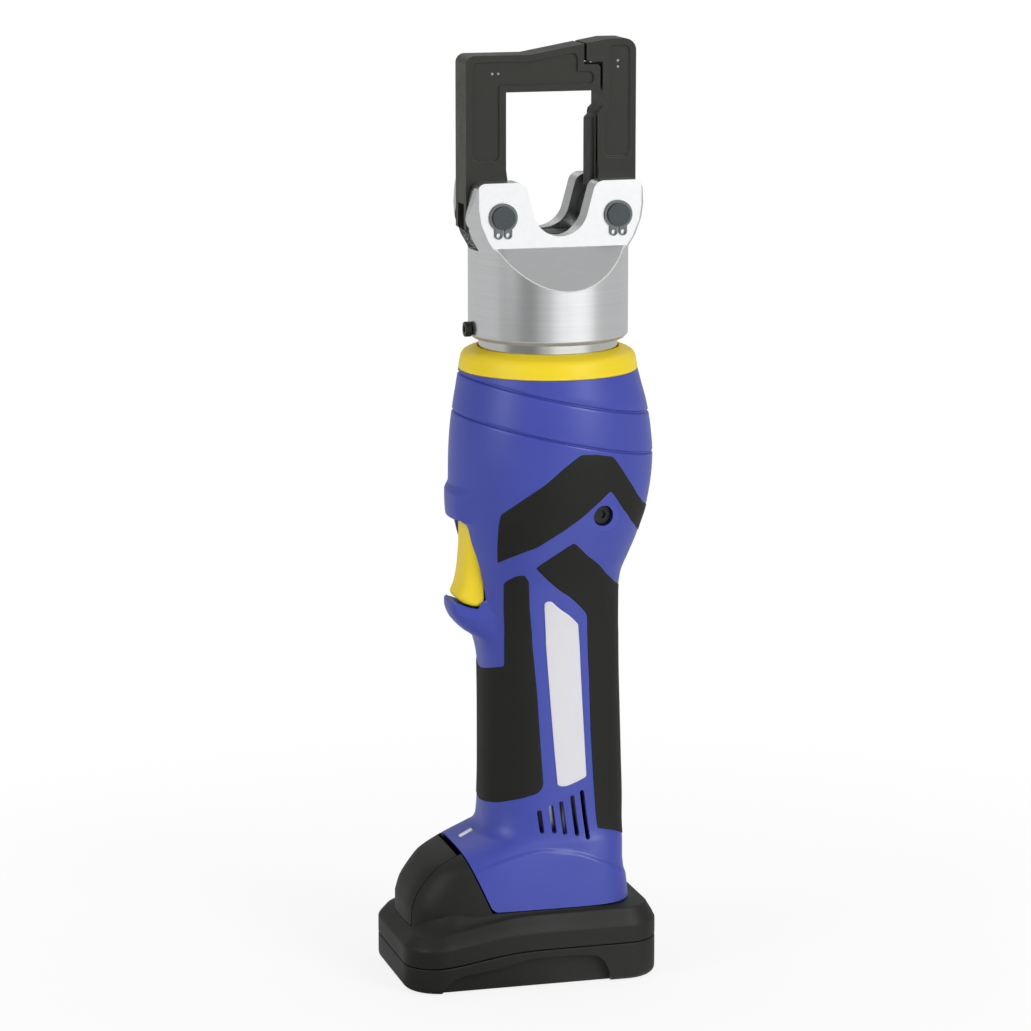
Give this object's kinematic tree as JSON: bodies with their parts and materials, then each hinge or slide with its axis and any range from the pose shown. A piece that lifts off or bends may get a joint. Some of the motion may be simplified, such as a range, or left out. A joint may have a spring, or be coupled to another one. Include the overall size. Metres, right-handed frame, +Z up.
{
  "type": "hydraulic crimping tool",
  "caption": "Upright battery hydraulic crimping tool with a moulded grip, a swivel head and a flip-open crimp frame closed by a latch.",
  "frame": {"origin": "On the tool axis, on the plane that the battery pack stands on.", "axes": "+Z up the tool axis towards the crimp frame, +X away from the trigger towards the back of the grip, +Y away from the side with the silver plate"},
  "size_m": [0.1075, 0.0796, 0.3751],
  "materials": {
    "body_plastic": "moulded, semi-matte blue",
    "collar_plastic": "moulded, yellow",
    "soft_grip": "soft-touch, matte black",
    "label_foil": "bare silver foil",
    "clear_lens": "frosted clear",
    "black_plastic": "moulded, fine-textured black",
    "dark_steel": "blackened",
    "pin_steel": "ground, dark grey",
    "bright_steel": "bright drawn",
    "chromed_steel": "ground and chromed",
    "satin_steel": "satin turned",
    "gear_steel": "cut and hardened",
    "spring_steel": "drawn wire",
    "phosphated_steel": "phosphated dark grey",
    "cast_aluminium": "machined casting",
    "seal_rubber": "smooth black",
    "contact_brass": "bright",
    "copper_core": "wound copper",
    "cell_wrap": "shrink wrap",
    "board": "lacquered board"
  },
  "bodies": {
    "tool_body": {"housing_left": "body_plastic", "housing_right": "body_plastic", "collar_ring": "collar_plastic", "upper_grip_left": "soft_grip", "upper_grip_right": "soft_grip", "front_grip_left": "soft_grip", "front_grip_right": "soft_grip", "rear_grip_left": "soft_grip", "rear_grip_right": "soft_grip", "label_plate": "label_foil", "status_lens": "clear_lens", "housing_screws": "dark_steel", "rail_frame": "black_plastic", "terminal_block": "black_plastic", "terminal_blades": "contact_brass", "control_board": "board", "motor_can": "bright_steel", "ring_gear": "gear_steel", "pump_plunger": "bright_steel", "pump_block": "cast_aluminium", "reservoir_bladder": "seal_rubber", "switch_body": "black_plastic", "trigger_pin": "bright_steel", "swivel_neck": "chromed_steel", "swivel_seal": "seal_rubber", "trigger_spring": "spring_steel"},
    "motor_rotor": {"motor_rotor": "copper_core"},
    "carrier": {"planet_carrier": "gear_steel", "eccentric_bearing": "bright_steel"},
    "planet_1": {"planet_gear_1": "gear_steel"},
    "planet_2": {"planet_gear_2": "gear_steel"},
    "planet_3": {"planet_gear_3": "gear_steel"},
    "trigger": {"trigger": "collar_plastic"},
    "switch_plunger": {"switch_plunger": "collar_plastic"},
    "head": {"head_body": "satin_steel", "head_screw": "dark_steel", "hinge_pin": "pin_steel", "latch_pin": "pin_steel", "pin_circlips": "spring_steel", "return_spring": "spring_steel"},
    "ram": {"ram_piston": "chromed_steel", "piston_seal": "seal_rubber", "die_holder": "dark_steel"},
    "swing_frame": {"swing_frame": "phosphated_steel"},
    "latch": {"latch_arm": "phosphated_steel"},
    "battery": {"battery_lower_case": "black_plastic", "battery_upper_case": "black_plastic", "battery_cells": "cell_wrap", "cell_straps": "bright_steel", "battery_contacts": "contact_brass", "battery_screws": "dark_steel", "button_spring": "spring_steel"},
    "release_button": {"release_button": "black_plastic"}
  },
  "joints": [
    {"name": "head_turn", "type": "hinge", "parent": "tool_body", "child": "head", "pos_m": [0, 0, 0.27], "axis": [0, 0, 1], "continuous": true},
    {"name": "frame_swing", "type": "hinge", "parent": "head", "child": "swing_frame", "pos_m": [-0.0233, 0, 0.3075], "axis": [0, -1, 0], "range_deg": [0, 40]},
    {"name": "latch_swing", "type": "hinge", "parent": "head", "child": "latch", "pos_m": [0.0233, 0, 0.3075], "axis": [0, -1, 0], "range_deg": [-100, 0]},
    {"name": "ram_stroke", "type": "slide", "parent": "head", "child": "ram", "axis": [0, 0, 1], "range_m": [0, 0.016], "stiffness_N_per_m": 4000, "springref_m": -0.01, "deforming": ["return_spring"]},
    {"name": "trigger_pull", "type": "hinge", "parent": "tool_body", "child": "trigger", "pos_m": [-0.0295, 0, 0.1905], "axis": [0, -1, 0], "range_deg": [0, 9], "stiffness_Nm_per_rad": 1.2, "springref_deg": -14.32, "deforming": ["trigger_spring"]},
    {"name": "switch_press", "type": "slide", "parent": "tool_body", "child": "switch_plunger", "axis": [1, 0, 0], "range_m": [0, 0.0031]},
    {"name": "motor_spin", "type": "hinge", "parent": "tool_body", "child": "motor_rotor", "pos_m": [0, 0, 0.08], "axis": [0, 0, 1], "continuous": true},
    {"name": "carrier_spin", "type": "hinge", "parent": "tool_body", "child": "carrier", "pos_m": [0, 0, 0.12], "axis": [0, 0, 1], "continuous": true},
    {"name": "planet_1_spin", "type": "hinge", "parent": "carrier", "child": "planet_1", "pos_m": [0.01073, 0, 0.1145], "axis": [0, 0, 1], "continuous": true},
    {"name": "planet_2_spin", "type": "hinge", "parent": "carrier", "child": "planet_2", "pos_m": [-0.00536, 0.00929, 0.1145], "axis": [0, 0, 1], "continuous": true},
    {"name": "planet_3_spin", "type": "hinge", "parent": "carrier", "child": "planet_3", "pos_m": [-0.00536, -0.00929, 0.1145], "axis": [0, 0, 1], "continuous": true},
    {"name": "battery_slide", "type": "slide", "parent": "tool_body", "child": "battery", "axis": [-1, 0, 0], "range_m": [0, 0.08]},
    {"name": "button_press", "type": "hinge", "parent": "battery", "child": "release_button", "pos_m": [-0.0573, 0, 0.0337], "axis": [0, 1, 0], "range_deg": [0, 6], "stiffness_Nm_per_rad": 0.5, "springref_deg": -11.46, "deforming": ["button_spring"]}
  ],
  "couplings": [
    {"joint": "latch_swing", "follows": "frame_swing", "ratio": -2.5},
    {"joint": "switch_press", "follows": "trigger_pull", "m_per_rad": 0.0193},
    {"joint": "carrier_spin", "follows": "motor_spin", "ratio": 0.22727},
    {"joint": "planet_1_spin", "follows": "motor_spin", "ratio": -0.64394},
    {"joint": "planet_2_spin", "follows": "motor_spin", "ratio": -0.64394},
    {"joint": "planet_3_spin", "follows": "motor_spin", "ratio": -0.64394}
  ]
}
